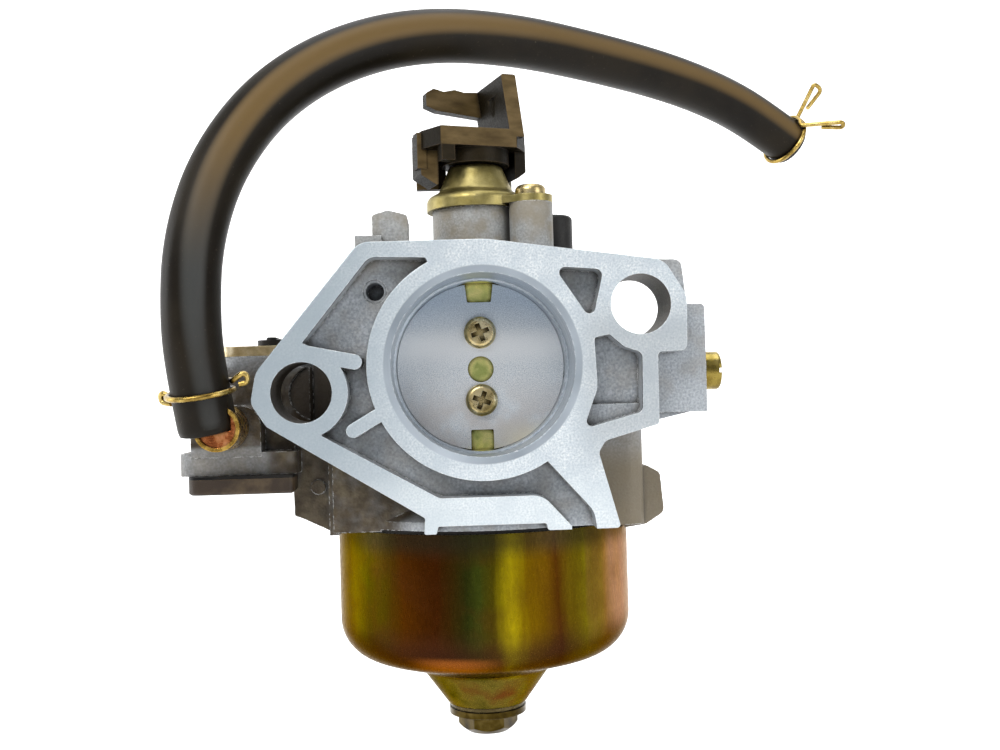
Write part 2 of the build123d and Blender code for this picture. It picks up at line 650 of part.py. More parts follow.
def tap_plate():
    """Pressed plate that keeps the spindle down."""
    side = 2 * tap_half
    plate = Pos(*tap_at, 3.3) * extrude(RectangleRounded(side, side, 2.6), 1.9)
    plate -= post(*tap_at, 6.5, 3.0, 4.2) + post(*tap_at, tap_neck + running_gap, 3.0, 6.0)
    for x, y in tap_screws():
        plate -= post(x, y, 1.35, 3.0, 6.0)
    return plate


def tap_plate_screws():
    return Compound(children=[Pos(x, y, 5.2) * pan_screw(2.0, 1.3, 1.25, 7.5) for x, y in tap_screws()])


def tap_lever():
    """Flat lever that points back from the spindle and ends in a round finger pad."""
    x, y = tap_at
    arm = Pos(x, y) * Circle(2.7) + stadium((x, y), (x, y + 17.0), 1.9) + Pos(x, y + 16.0) * Circle(2.9)
    lever = layer(arm, 5.4, 6.6) + layer(stadium((x, y), (x, y + 15.0), 1.0), 6.5, 7.2)
    return fillet(lever.edges().group_by(Axis.Z)[-1], 0.25)


def cover_outline():
    return outline([
        (-52.0, 6.0, 2.5), (-33.4, 6.0, 1.0), (-33.6, 13.2, 0.4), (-35.4, 13.4, 0.0), (-35.4, 37.5, 2.0),
        (-52.0, 37.5, 5.0),
    ])


def strainer_cover():
    """Dark cover under the ledge, closing the strainer chamber."""
    cover = layer(cover_outline(), *cover_z)
    cover = chamfer(cover.edges().group_by(Axis.Z)[0], 0.35)
    x, y = cover_screw_at
    return cover - post(x, y, 1.6, -22, -18) - post(x, y, 3.1, -22, -19.8)


def cover_gasket():
    sheet = layer(cover_outline(), cover_z[1], ledge_z[0])
    return sheet - post(*cover_screw_at, 1.6, -22, -18) - post(*strainer_at, 4.2, -20, -18)


def cover_screw():
    return Pos(*cover_screw_at, -19.8) * Rot(180, 0, 0) * pan_screw(2.9, 1.4, 1.5, 4.6)


def fuel_strainer():
    """Small gauze cup in the chamber above the cover."""
    cup = post(*strainer_at, 4.8, -18.1, -15.4) - post(*strainer_at, 4.3, -18.2, -16.0)
    return cup


# ---- inlet elbow, hose and clips -------------------------------------------------------------------
def hose_end_plane():
    """Plane of the hose's lower end, looking up the hose."""
    start = Vector(*hose_route[0])
    return Plane(origin=start, z_dir=Vector(*hose_route[1]) - start)


def inlet_elbow():
    """Brass elbow: a round body with a rim round its face, and a barb that the hose pushes over."""
    x, y, z = elbow_at
    body = rod(x, z, elbow_radius, y - 3.2, 8.45) + rod(x, z, 2.6, 8.4, 15.0)
    body -= rod(x, z, elbow_radius - 0.7, y - 4.0, y - 2.8)
    frame = hose_end_plane()
    body -= frame * Cylinder(hose_radius + 0.1, 20, align=STANDING)
    body -= rod(x, z, 1.5, y, 16.0)
    barb = Cylinder(2.5, 11.0, align=STANDING)
    for level in (3.0, 6.0, 9.0):
        barb += Pos(0, 0, level) * Cone(2.7, 2.5, 1.6, align=STANDING)
    body += frame * (Pos(0, 0, -0.5) * Cylinder(2.5, 1.0, align=STANDING) + barb)
    return body - frame * Pos(0, 0, -3.0) * Cylinder(1.5, 20, align=STANDING)


def hose_corner_radii():
    """Arc radius at each corner: as large as its two runs allow."""
    points = [Vector(*p) for p in hose_route]
    radii = []
    for before, here, after in zip(points, points[1:], points[2:]):
        arriving = here - before
        leaving = after - here
        shorter = min(arriving.length, leaving.length)
        radii.append(0.45 * shorter / tan(radians(arriving.get_angle(leaving) / 2)))
    return radii


def fuel_hose():
    """Thick-walled hose along its route."""
    path = FilletPolyline(*hose_route, radius=hose_corner_radii())
    tube = sweep(hose_end_plane() * (Circle(hose_radius) - Circle(hose_bore)), path=path)
    section = pi * (hose_radius**2 - hose_bore**2)
    print("hose arc radii", [round(r, 1) for r in hose_corner_radii()])
    print("hose length", round(path.length, 1), "volume / (section x length)", tube.volume / section / path.length)
    return tube


def wire_clip(frame, start_turn, steps, first_ear, last_ear):
    """One bent wire: an ear, more than one turn round the hose, and a second ear.

    The turns run in steps of 30 degrees from start_turn. An ear is (length, lift along the hose,
    width): a straight leg outwards, a round end, and a short leg back.
    """
    ring = hose_radius + wire_radius + 0.05
    step = -30
    pitch = 1.4

    def at(turn, radius, z):
        return (radius * cos(radians(turn)), radius * sin(radians(turn)), z)

    def ear(turn, z, length, lift, width):
        far = ring + length
        back = 0.42 * length
        touching = 2.6 * wire_radius
        return [
            at(turn, ring, z), at(turn, far, z + lift), at(turn, far, z + lift - width),
            at(turn, ring + back, z + 0.42 * lift - touching),
        ]

    end_turn = start_turn + step * steps
    end_z = -pitch * step * steps / 360
    middles = [step * (i + 0.5) for i in range(steps)]
    corner = ring / cos(radians(step / 2))
    points = ear(start_turn, 0, *first_ear)[::-1]
    points += [at(start_turn + middle, corner, -pitch * middle / 360) for middle in middles]
    points += ear(end_turn, end_z, *last_ear)
    foot = 0.65
    radii = [0.34 * first_ear[2]] * 2 + [foot, 2.6] + [0.93 * ring] * (steps - 2) + [2.6, foot]
    path = FilletPolyline(*points, radius=radii + [0.34 * last_ear[2]] * 2)
    section = Plane(origin=path @ 0, z_dir=path % 0) * Circle(wire_radius * 0.96)
    return frame * sweep(section, path=path)


def clip_frame(start, end, distance):
    """Frame on a straight stretch of hose: z along the hose, x as near to +X as can be."""
    first = Vector(*start)
    along = (Vector(*end) - first).normalized()
    side = Vector(1, 0, 0) - along * along.X
    return Plane(origin=first + along * distance, x_dir=side, z_dir=along)


def hose_clip_inlet():
    frame = clip_frame(hose_route[0], hose_route[1], 5.9)
    return wire_clip(frame, 150, 17, (3.6, 1.8, 2.0), (2.7, 1.4, 2.0))


def hose_clip_free():
    frame = clip_frame(hose_route[-1], hose_route[-2], 1.2)
    return wire_clip(frame, 41, 14, (10.2, -0.4, 2.6), (7.0, -5.6, 2.4))


# ---- write the parts --------------------------------------------------------------------------
pieces = {
    "body_casting": body_casting,
    "throttle_shaft": throttle_shaft,
    "throttle_plate": throttle_plate,
    "throttle_plate_screws": throttle_plate_screws,
    "throttle_cap": throttle_cap,
    "cap_screw": cap_screw,
    "shaft_seal": shaft_seal,
    "throttle_lever": throttle_lever,
    "idle_screw": idle_screw,
    "idle_screw_knob": idle_screw_knob,
    "idle_spring": idle_spring,
    "pilot_jet": pilot_jet,
    "mixture_screw": mixture_screw,
    "choke_shaft": choke_shaft,
    "choke_plate": choke_plate,
    "choke_plate_screws": choke_plate_screws,
    "choke_lever": choke_lever,
    "choke_clip": choke_clip,
    "main_jet": main_jet,
    "main_nozzle": main_nozzle,
    "float": float_ring,
    "float_pin": float_pin,
    "float_needle": float_needle,
    "needle_seat": needle_seat,
    "bowl_gasket": bowl_gasket,
    "float_bowl": float_bowl,
    "drain_screw": drain_screw,
    "drain_washer": drain_washer,
    "bowl_bolt": bowl_bolt,
    "bowl_bolt_washer": bowl_bolt_washer,
    "tap_packing": tap_packing,
    "tap_spindle": tap_spindle,
    "tap_spring": tap_spring,
    "tap_plate": tap_plate,
    "tap_plate_screws": tap_plate_screws,
    "tap_lever": tap_lever,
    "strainer_cover": strainer_cover,
    "cover_gasket": cover_gasket,
    "cover_screw": cover_screw,
    "fuel_strainer": fuel_strainer,
    "inlet_elbow": inlet_elbow,
    "fuel_hose": fuel_hose,
    "hose_clip_inlet": hose_clip_inlet,
    "hose_clip_free": hose_clip_free,
}

os.makedirs("parts", exist_ok=True)
for name, make in pieces.items():
    export_step(make(), f"parts/{name}.step")
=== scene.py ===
from math import cos, pi, radians, sin

import bpy
from mathutils import Euler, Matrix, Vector


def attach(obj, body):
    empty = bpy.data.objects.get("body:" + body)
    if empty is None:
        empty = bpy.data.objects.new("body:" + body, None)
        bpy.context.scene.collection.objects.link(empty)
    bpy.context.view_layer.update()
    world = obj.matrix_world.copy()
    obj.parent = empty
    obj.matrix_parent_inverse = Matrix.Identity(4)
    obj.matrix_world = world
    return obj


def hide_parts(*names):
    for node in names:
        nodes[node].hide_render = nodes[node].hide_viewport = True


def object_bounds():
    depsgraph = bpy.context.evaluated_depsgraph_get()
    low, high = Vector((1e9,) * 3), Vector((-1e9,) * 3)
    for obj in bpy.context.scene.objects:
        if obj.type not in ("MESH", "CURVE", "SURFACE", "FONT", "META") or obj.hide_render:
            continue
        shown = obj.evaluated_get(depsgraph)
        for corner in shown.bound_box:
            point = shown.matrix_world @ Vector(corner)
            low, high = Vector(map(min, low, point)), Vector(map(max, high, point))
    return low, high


# Looks of a small-engine float carburetor. The camera faces the machined engine-side flange, +Z is up
# and the bore runs along Y. Metres.
mm = 0.001
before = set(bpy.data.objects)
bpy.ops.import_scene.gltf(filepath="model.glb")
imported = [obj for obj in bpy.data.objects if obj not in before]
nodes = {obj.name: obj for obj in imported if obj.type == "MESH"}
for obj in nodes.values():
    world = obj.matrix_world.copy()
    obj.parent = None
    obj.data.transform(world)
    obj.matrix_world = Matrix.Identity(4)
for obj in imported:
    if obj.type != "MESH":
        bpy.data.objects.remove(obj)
cad_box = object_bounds()
scene = bpy.context.scene


# ---- camera --------------------------------------------------------------------------------------
def place_camera():
    data = bpy.data.cameras.new("camera")
    data.sensor_width = 36.0
    data.lens = 41.76
    camera = bpy.data.objects.new("camera", data)
    pan, tilt, roll = radians(2.57), radians(0.84), radians(1.6)
    turn = Euler((0, 0, -pan)).to_matrix() @ Euler((pi / 2 + tilt, 0, 0)).to_matrix()
    camera.matrix_world = (turn @ Euler((0, 0, -roll)).to_matrix()).to_4x4()
    camera.location = (-6.07 * mm, -197.83 * mm, -4.8 * mm)
    scene.collection.objects.link(camera)
    scene.camera = camera


place_camera()

# ---- fuel hose -----------------------------------------------------------------------------------
hose_radius = 5.0 * mm
hose_bore = 2.75 * mm
hose_route = [
    (-47.1, 2.2, -10.2),
    (-48.5, 0.6, -0.8),
    (-49.2, -0.5, 9.0),
    (-48.6, 0.2, 22.4),
    (-44.6, 3.0, 36.0),
    (-36.4, 8.0, 48.6),
    (-24.4, 14.0, 57.8),
    (-9.5, 20.0, 63.0),
    (8.0, 28.5, 64.4),
    (27.0, 40.0, 63.6),
    (43.8, 49.6, 61.8),
    (56.4, 56.6, 58.9),
    (66.2, 61.8, 54.9),
    (74.2, 65.8, 50.4),
]


def add_object(name, data):
    piece = bpy.data.objects.new(name, data)
    scene.collection.objects.link(piece)
    return piece


def smooth_line(route):
    """Points of the smooth line that the route's points pull along."""
    data = bpy.data.curves.new("line", "CURVE")
    data.dimensions = "3D"
    spline = data.splines.new("NURBS")
    spline.points.add(len(route) - 1)
    for point, place in zip(spline.points, route):
        point.co = (place[0] * mm, place[1] * mm, place[2] * mm, 1.0)
    spline.order_u = 3
    spline.use_endpoint_u = True
    spline.resolution_u = 16
    line = add_object("line", data)
    mesh = bpy.data.meshes.new_from_object(line)
    points = [v.co.copy() for v in mesh.vertices]
    bpy.data.objects.remove(line)
    bpy.data.meshes.remove(mesh)
    return points


def frames_along(points):
    """A point, its direction and a side direction that doesn't twist, for each point of a line."""
    side = Vector((0, 1, 0))
    result = []
    for i, point in enumerate(points):
        ahead = points[min(i + 1, len(points) - 1)]
        behind = points[max(i - 1, 0)]
        along = (ahead - behind).normalized()
        side = (side - along * side.dot(along)).normalized()
        result.append((point, along, side))
    return result


def tube_mesh(name, points, outer, bore, lip, depth, sides=56):
    """A hose: its outside, rounded lips at both cut ends, and the bore as deep as it can be seen."""
    line = frames_along(points)
    start, finish = line[0], line[-1]

    def cut_end(end, inwards):
        """Rings from the bottom of the bore, round the lip, to the outside."""
        point, along, side = end
        return [
            (point + along * (inwards * depth), along, side, bore * 0.96),
            (point + along * (inwards * lip), along, side, bore),
            (point + along * (inwards * lip * 0.25), along, side, bore + lip * 0.3),
            (point, along, side, bore + lip),
            (point, along, side, outer - lip),
            (point + along * (inwards * lip * 0.3), along, side, outer - lip * 0.3),
        ]

    rings = cut_end(start, 1)
    rings += [(*place, outer) for place in line[1:-1]]
    rings += cut_end(finish, -1)[::-1]
    verts, faces = [], []
    for point, along, side, radius in rings:
        up = along.cross(side)
        for k in range(sides):
            turn = 2 * pi * k / sides
            verts.append(point + (side * cos(turn) + up * sin(turn)) * radius)
    for i in range(len(rings) - 1):
        for k in range(sides):
            a, b = i * sides + k, i * sides + (k + 1) % sides
            faces.append((a, b, b + sides, a + sides))
    faces.append(tuple(range(sides))[::-1])
    faces.append(tuple(range(len(verts) - sides, len(verts))))
    mesh = bpy.data.meshes.new(name)
    mesh.from_pydata(verts, [], faces)
    mesh.shade_smooth()
    return mesh


hose_points = smooth_line(hose_route)
hose = add_object("hose", tube_mesh("hose", hose_points, hose_radius, hose_bore, 0.5 * mm, 9 * mm))
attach(hose, "carburetor")
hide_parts("fuel_hose")


# ---- materials -----------------------------------------------------------------------------------
def tone(red, green, blue):
    """A colour given as 0 to 255 display values, as the shader's linear colour."""
    def linear(v):
        v /= 255
        return v / 12.92 if v <= 0.04045 else ((v + 0.055) / 1.055) ** 2.4
    return (linear(red), linear(green), linear(blue), 1.0)


class Look:
    """A node material, built step by step. Vectors are the object's own place, in metres."""

    def __init__(self, name, metallic=0.0, **sockets):
        self.material = bpy.data.materials.new(name)
        self.material.use_nodes = True
        self.tree = self.material.node_tree
        self.shader = self.tree.nodes["Principled BSDF"]
        self.shader.inputs["Metallic"].default_value = metallic
        for socket, value in sockets.items():
            self.shader.inputs[socket.replace("_", " ")].default_value = value
        self.place = self.add("ShaderNodeTexCoord").outputs["Object"]
        self.normal = self.add("ShaderNodeNewGeometry").outputs["Normal"]

    def add(self, kind, settings=None, **inputs):
        node = self.tree.nodes.new(kind)
        for key, value in (settings or {}).items():
            setattr(node, key, value)
        for key, value in inputs.items():
            self.feed(node.inputs[key.replace("_", " ")], value)
        return node

    def feed(self, socket, value):
        if isinstance(value, bpy.types.NodeSocket):
            self.tree.links.new(value, socket)
        else:
            socket.default_value = value

    def set(self, socket, value):
        self.feed(self.shader.inputs[socket], value)

    def stretched(self, scale):
        return self.add("ShaderNodeMapping", None, Vector=self.place, Scale=scale).outputs[0]

    def noise(self, size, detail=3.0, vector=None, distortion=0.0):
        node = self.add("ShaderNodeTexNoise", None, Vector=vector or self.place, Scale=1 / size,
                        Detail=detail, Distortion=distortion)
        return node.outputs[0]

    def distance_to(self, centre):
        """Distance from a line along Y through the centre."""
        moved = self.add("ShaderNodeVectorMath", {"operation": "SUBTRACT"})
        flat = self.add("ShaderNodeVectorMath", {"operation": "MULTIPLY"})
        size = self.add("ShaderNodeVectorMath", {"operation": "LENGTH"})
        self.feed(moved.inputs[0], self.place)
        self.feed(moved.inputs[1], centre)
        self.feed(flat.inputs[0], moved.outputs[0])
        self.feed(flat.inputs[1], (1, 0, 1))
        self.feed(size.inputs[0], flat.outputs[0])
        return size.outputs["Value"]

    def spread(self, value, low, high, new_low=0.0, new_high=1.0):
        """Map low..high to new_low..new_high, clamped and eased."""
        node = self.add("ShaderNodeMapRange", {"interpolation_type": "SMOOTHSTEP"})
        for socket, v in zip(node.inputs, (value, low, high, new_low, new_high)):
            self.feed(socket, v)
        return node.outputs[0]

    def math(self, operation, a, b=0.0):
        node = self.add("ShaderNodeMath", {"operation": operation})
        self.feed(node.inputs[0], a)
        self.feed(node.inputs[1], b)
        return node.outputs[0]

    def both(self, a, b):
        """1 where both masks are 1. With a number, the mask is scaled."""
        return self.math("MULTIPLY", a, b)

    def mix(self, amount, a, b, mode="MIX"):
        node = self.add("ShaderNodeMix", {"data_type": "RGBA", "blend_type": mode})
        self.feed(node.inputs[0], amount)
        self.feed(node.inputs[6], a)
        self.feed(node.inputs[7], b)
        return node.outputs[2]

    def ramp(self, value, stops):
        node = self.add("ShaderNodeValToRGB", None, Fac=value)
        bar = node.color_ramp
        while len(bar.elements) < len(stops):
            bar.elements.new(0.5)
        for element, (at, colour) in zip(bar.elements, stops):
            element.position = at
            element.color = colour
        return node.outputs[0]

    def axis(self, letter, vector=None):
        node = self.add("ShaderNodeSeparateXYZ", None, Vector=vector or self.place)
        return node.outputs[letter]

    def round_edges(self, radius):
        return self.add("ShaderNodeBevel", {"samples": 4}, Radius=radius).outputs[0]

    def edge(self, radius):
        """1 on edges that stick out, 0 on flat stretches."""
        dot = self.add("ShaderNodeVectorMath", {"operation": "DOT_PRODUCT"})
        self.feed(dot.inputs[0], self.round_edges(radius))
        self.feed(dot.inputs[1], self.normal)
        return self.spread(self.math("SUBTRACT", 1.0, dot.outputs["Value"]), 0.02, 0.25)

    def corner_shade(self, distance, low, high):
        """1 in the open, 0 deep in corners; the mask for painted shade in corners."""
        node = self.add("ShaderNodeAmbientOcclusion", {"samples": 8}, Distance=distance)
        return self.spread(node.outputs["AO"], low, high)

    def bump(self, height, depth, normal, strength):
        node = self.add("ShaderNodeBump", None, Strength=strength, Distance=depth, Height=height)
        if normal is not None:
            self.feed(node.inputs["Normal"], normal)
        return node.outputs[0]


# Places on the carburetor that the stains, the finishes and the painted shade and reflections follow.
studs = [(-31.0 * mm, 0, -4.0 * mm), (27.4 * mm, 0, 9.7 * mm)]
stud_hole = 5.2 * mm
air_face = 61.8 * mm
bored_radius = 16.9 * mm
elbow_at = (-45.2 * mm, 0, -9.7 * mm)
elbow_face = 3.1 * mm
bowl_width = 56 * mm


def casting_look():
    """Die-cast aluminium: grainy grey skin, pale machined faces, nicked edges, old fuel stains, and
    painted shade and light.
    """
    look = Look("cast_aluminium")
    across, depth, up = look.axis("X"), look.axis("Y"), look.axis("Z")
    facing = look.axis("Y", look.normal)
    front = look.both(look.spread(depth, 0.25 * mm, 0.15 * mm), look.spread(facing, -0.9, -0.97))
    at_back = look.spread(depth, air_face - 0.1 * mm, air_face + 0.1 * mm)
    back = look.both(at_back, look.spread(facing, 0.9, 0.97))
    flat = look.math("MAXIMUM", front, back)
    bore = look.spread(look.distance_to((0, 0, 0)), bored_radius + 0.3 * mm, bored_radius)
    machined = look.math("MAXIMUM", flat, bore)

    grain = look.noise(0.4 * mm, 4.0)
    blotch = look.noise(4.5 * mm, 3.0)
    skin = look.ramp(grain, [
        (0.3, tone(140, 146, 152)), (0.5, tone(162, 168, 174)), (0.72, tone(188, 193, 199)),
    ])
    skin = look.mix(look.spread(blotch, 0.4, 0.7, 0.0, 0.4), skin, tone(146, 140, 130))
    low_right = look.both(look.spread(up, -8 * mm, -20 * mm), look.spread(depth, 6 * mm, 14 * mm))
    skin = look.mix(look.both(low_right, 0.85), skin, tone(120, 106, 78))
    upper = look.both(look.spread(up, 14 * mm, 20 * mm), look.spread(depth, 2 * mm, 6 * mm))
    skin = look.mix(look.both(upper, look.spread(blotch, 0.3, 0.7, 0.3, 0.75)), skin, tone(132, 122, 100))
    # Brown fuel stains mixed with painted shade on the surfaces behind the face, left of the bore and low
    # down, less on the ledge.
    behind = look.both(look.spread(depth, 5 * mm, 8.4 * mm), look.spread(across, -6 * mm, -14 * mm))
    behind = look.both(behind, look.spread(up, 5 * mm, -2 * mm))
    ledge = look.both(look.spread(across, -36 * mm, -40 * mm), look.spread(up, -12.6 * mm, -14 * mm))
    behind = look.both(behind, look.spread(ledge, 0.0, 1.0, 1.0, 0.35))
    stain_and_shade = look.both(behind, look.spread(look.noise(3 * mm, 4.0), 0.25, 0.6, 0.78, 1.0))
    brown = look.ramp(look.noise(2.6 * mm, 4.0), [
        (0.3, tone(46, 36, 20)), (0.5, tone(66, 54, 36)), (0.7, tone(94, 84, 64)),
    ])
    skin = look.mix(stain_and_shade, skin, brown)
    # Painted shade: a dark band on the pocket walls just behind the edges of the machined faces.
    lip = look.both(look.spread(depth, 1.3 * mm, 0.5 * mm), look.spread(machined, 1.0, 0.0))
    skin = look.mix(look.both(lip, 0.8), skin, tone(42, 44, 48))
    # Painted shade on the walls of the stud holes.
    for stud in studs:
        wall = look.spread(look.distance_to(stud), stud_hole + 0.4 * mm, stud_hole)
        skin = look.mix(look.both(wall, 0.9), skin, tone(60, 52, 42))
    # Painted shade: corners darkened to grey.
    skin = look.mix(look.corner_shade(1.6 * mm, 0.3, 0.85), tone(80, 79, 77), skin)

    mottle = look.noise(0.35 * mm, 5.0)
    cloud = look.noise(5 * mm, 4.0)
    metal = look.ramp(mottle, [
        (0.3, tone(190, 200, 208)), (0.5, tone(219, 228, 234)), (0.68, tone(246, 249, 250)),
    ])
    metal = look.mix(look.spread(cloud, 0.35, 0.68, 0.0, 0.5), metal, tone(192, 204, 214))
    # Painted shade on the machined face: darker towards the left and at the right; painted light towards
    # the bottom.
    metal = look.mix(look.spread(across, 4 * mm, -32 * mm, 0.0, 0.8), metal, tone(150, 163, 172))
    right = look.both(look.spread(across, 13 * mm, 21 * mm), look.spread(up, 13 * mm, 4 * mm))
    right = look.both(right, look.spread(up, -22 * mm, -10 * mm, 0.0, 0.5))
    metal = look.mix(right, metal, tone(158, 164, 168))
    metal = look.mix(look.spread(up, -16 * mm, -24 * mm, 0.0, 0.35), metal, tone(232, 241, 245))
    rings = look.noise(0.35 * mm, 2.0, look.stretched((0.02, 1.0, 0.02)))
    walls = look.ramp(rings, [(0.3, tone(128, 138, 148)), (0.7, tone(186, 196, 206))])
    metal = look.mix(bore, metal, walls)
    rim = look.edge(0.3 * mm)
    nicks = look.both(rim, look.spread(look.noise(0.8 * mm, 4.0), 0.44, 0.58))
    colour = look.mix(machined, skin, metal)
    colour = look.mix(look.both(nicks, 0.9), colour, tone(250, 252, 253))
    look.set("Base Color", colour)
    look.set("Metallic", look.spread(machined, 0, 1, 0.1, 0.45))
    rough = look.spread(grain, 0.3, 0.7, 0.5, 0.66)
    shine = look.spread(mottle, 0.3, 0.7, 0.3, 0.44)
    mixed = look.add("ShaderNodeMix", {"data_type": "FLOAT"})
    for socket, value in zip(mixed.inputs[0:1] + mixed.inputs[2:4], (machined, rough, shine)):
        look.feed(socket, value)
    look.set("Roughness", mixed.outputs[0])
    coarse = look.math("ADD", grain, look.noise(1.6 * mm, 2.0))
    coarse = look.both(coarse, look.spread(machined, 0, 1, 1.0, 0.0))
    height = look.math("ADD", coarse, look.both(mottle, 0.2))
    look.set("Normal", look.bump(height, 0.14 * mm, look.round_edges(0.35 * mm), 0.7))
    return look.material


def zinc_look(name, colours, rough, shade):
    """Plated steel: a drifting tint over a fine satin, its edges painted bright, part rubbed wear and part
    painted highlight.
    """
    look = Look(name, 1.0)
    drift = look.noise(3 * mm, 2.0, None, 0.4)
    stops = [(0.3 + 0.4 * i / (len(colours) - 1), tone(*c)) for i, c in enumerate(colours)]
    colour = look.ramp(drift, stops)
    satin = look.noise(0.25 * mm, 4.0)
    colour = look.mix(look.spread(satin, 0.35, 0.65, 0.0, 0.12), colour, tone(60, 52, 30), "MULTIPLY")
    # Edges painted bright: rubbed wear and a painted highlight.
    colour = look.mix(look.both(look.edge(0.22 * mm), 0.6), colour, tone(240, 230, 190))
    # Painted shade: corners darkened to brown.
    colour = look.mix(look.corner_shade(1.0 * mm, 0.3, 0.9), tone(56, 44, 20), colour)
    colour = look.mix(1.0, colour, (shade, shade, shade, 1), "MULTIPLY")
    look.set("Base Color", colour)
    look.set("Roughness", look.spread(look.noise(1.1 * mm, 4.0), 0.3, 0.7, *rough))
    look.set("Normal", look.bump(satin, 0.04 * mm, look.round_edges(0.2 * mm), 0.5))
    return look.material


def plate_look():
    """Bright zinc butterfly plate: fine mottling, painted shade tinted blue above, a warm painted
    reflection below, a pale painted highlight between.
    """
    look = Look("plate_zinc", 0.75)
    mottle = look.noise(0.17 * mm, 5.0, None, 0.4)
    cloud = look.noise(6 * mm, 3.0)
    up = look.axis("Z")
    colour = look.ramp(mottle, [
        (0.3, tone(178, 187, 197)), (0.5, tone(222, 229, 235)), (0.7, tone(255, 255, 255)),
    ])
    # Painted shade, tinted blue, towards the top.
    above = look.spread(up, 4 * mm, 13 * mm, 0.0, 0.6)
    colour = look.mix(above, colour, tone(170, 190, 212), "MULTIPLY")
    # Painted reflection, warm and cloudy, towards the bottom.
    below = look.spread(up, 1 * mm, -12 * mm, 0.0, 0.55)
    colour = look.mix(look.both(below, look.spread(cloud, 0.3, 0.6)), colour, tone(196, 184, 176))
    # Painted highlight: a pale band across the middle.
    band = look.both(look.spread(up, -1 * mm, 3.5 * mm), look.spread(up, 8 * mm, 4 * mm))
    colour = look.mix(look.both(band, 0.75), colour, tone(244, 247, 250))
    # Painted light at the lower right.
    foot = look.both(look.spread(up, -9 * mm, -14 * mm), look.spread(look.axis("X"), 0, 9 * mm))
    colour = look.mix(look.both(foot, 0.7), colour, tone(244, 232, 200))
    look.set("Base Color", colour)
    look.set("Roughness", look.spread(mottle, 0.3, 0.7, 0.3, 0.46))
    look.set("Normal", look.bump(mottle, 0.03 * mm, None, 0.6))
    return look.material


def bowl_look():
    """Deep-drawn bowl in iridescent zinc chromate: dark upright bands that drift from olive to rose,
    painted reflections over the chromate's tint.
    """
    look = Look("bowl_zinc", 1.0, Specular_Tint=(0.62, 0.52, 0.4, 1))
    streak = look.noise(5 * mm, 4.0, look.stretched((1.0, 1.0, 0.14)))
    cloud = look.noise(8 * mm, 3.0)
    height = look.axis("Z")
    side = look.math("ADD", look.math("DIVIDE", look.axis("X"), bowl_width), 0.5)
    across = look.math("ADD", side, look.both(look.math("SUBTRACT", streak, 0.5), 0.1))
    # The bands across the bowl are painted reflections of the studio over the chromate's tint; the bright
    # yellow band is a painted highlight.
    colour = look.ramp(across, [
        (0.0, tone(104, 86, 30)), (0.06, tone(150, 130, 26)), (0.13, tone(96, 88, 12)),
        (0.22, tone(112, 62, 8)), (0.34, tone(84, 42, 10)), (0.43, tone(62, 66, 22)),
        (0.48, tone(84, 94, 30)), (0.53, tone(108, 96, 18)), (0.575, tone(240, 214, 24)),
        (0.615, tone(160, 122, 12)), (0.72, tone(96, 56, 12)), (0.82, tone(178, 160, 28)),
        (0.88, tone(214, 160, 84)), (0.94, tone(226, 172, 150)), (1.0, tone(236, 192, 172)),
    ])
    colour = look.mix(look.spread(cloud, 0.45, 0.7, 0.0, 0.35), colour, tone(110, 62, 30))
    foot = look.both(look.spread(height, -45 * mm, -51 * mm), look.spread(height, -60 * mm, -56 * mm))
    colour = look.mix(look.both(foot, 0.75), colour, tone(86, 50, 34))
    # Painted highlight: an orange band low on the bowl's left.
    orange_highlight = look.both(look.spread(height, -50.5 * mm, -52 * mm), look.spread(height, -55 * mm, -53 * mm))
    orange_highlight = look.both(orange_highlight, look.both(look.spread(side, 0.22, 0.36), look.spread(side, 0.58, 0.4)))
    colour = look.mix(look.both(orange_highlight, 0.8), colour, tone(226, 130, 56))
    cone = look.ramp(cloud, [
        (0.35, tone(104, 98, 30)), (0.5, tone(158, 138, 56)), (0.65, tone(150, 92, 44)),
    ])
    colour = look.mix(look.spread(height, -57.0 * mm, -59.0 * mm), colour, cone)
    # Painted shadow of the casting: the top of the bowl darkened.
    rim = look.spread(height, -34.5 * mm, -30.5 * mm, 0.0, 0.7)
    colour = look.mix(rim, colour, tone(66, 62, 44))
    look.set("Base Color", look.mix(1.0, colour, (0.42, 0.42, 0.42, 1), "MULTIPLY"))
    fine = look.noise(0.4 * mm, 4.0, look.stretched((1.0, 1.0, 0.3)))
    look.set("Roughness", look.spread(fine, 0.3, 0.7, 0.2, 0.36))
    look.set("Normal", look.bump(look.math("ADD", fine, cloud), 0.04 * mm, None, 0.5))
    return look.material


def plastic_look(name, base, lighter_tone, wear):
    """Moulded plastic with a fine grain, paler along its edges and in rubbed patches."""
    look = Look(name, 0.0)
    look.shader.inputs["Specular IOR Level"].default_value = 0.4
    patches = look.noise(4 * mm, 4.0)
    grain = look.noise(0.3 * mm, 4.0)
    colour = look.mix(look.spread(patches, 0.4, 0.72, 0.0, wear), tone(*base), tone(*lighter_tone))
    rubbed = look.both(look.edge(0.3 * mm), look.spread(look.noise(1.2 * mm), 0.3, 0.6, 0.3, 0.8))
    colour = look.mix(rubbed, colour, tone(*lighter_tone))
    # Painted shade: corners darkened to near black.
    colour = look.mix(look.corner_shade(1.5 * mm, 0.3, 0.9), tone(8, 7, 6), colour)
    look.set("Base Color", colour)
    look.set("Roughness", look.spread(grain, 0.3, 0.7, 0.42, 0.6))
    look.set("Normal", look.bump(grain, 0.06 * mm, look.round_edges(0.25 * mm), 0.6))
    return look.material


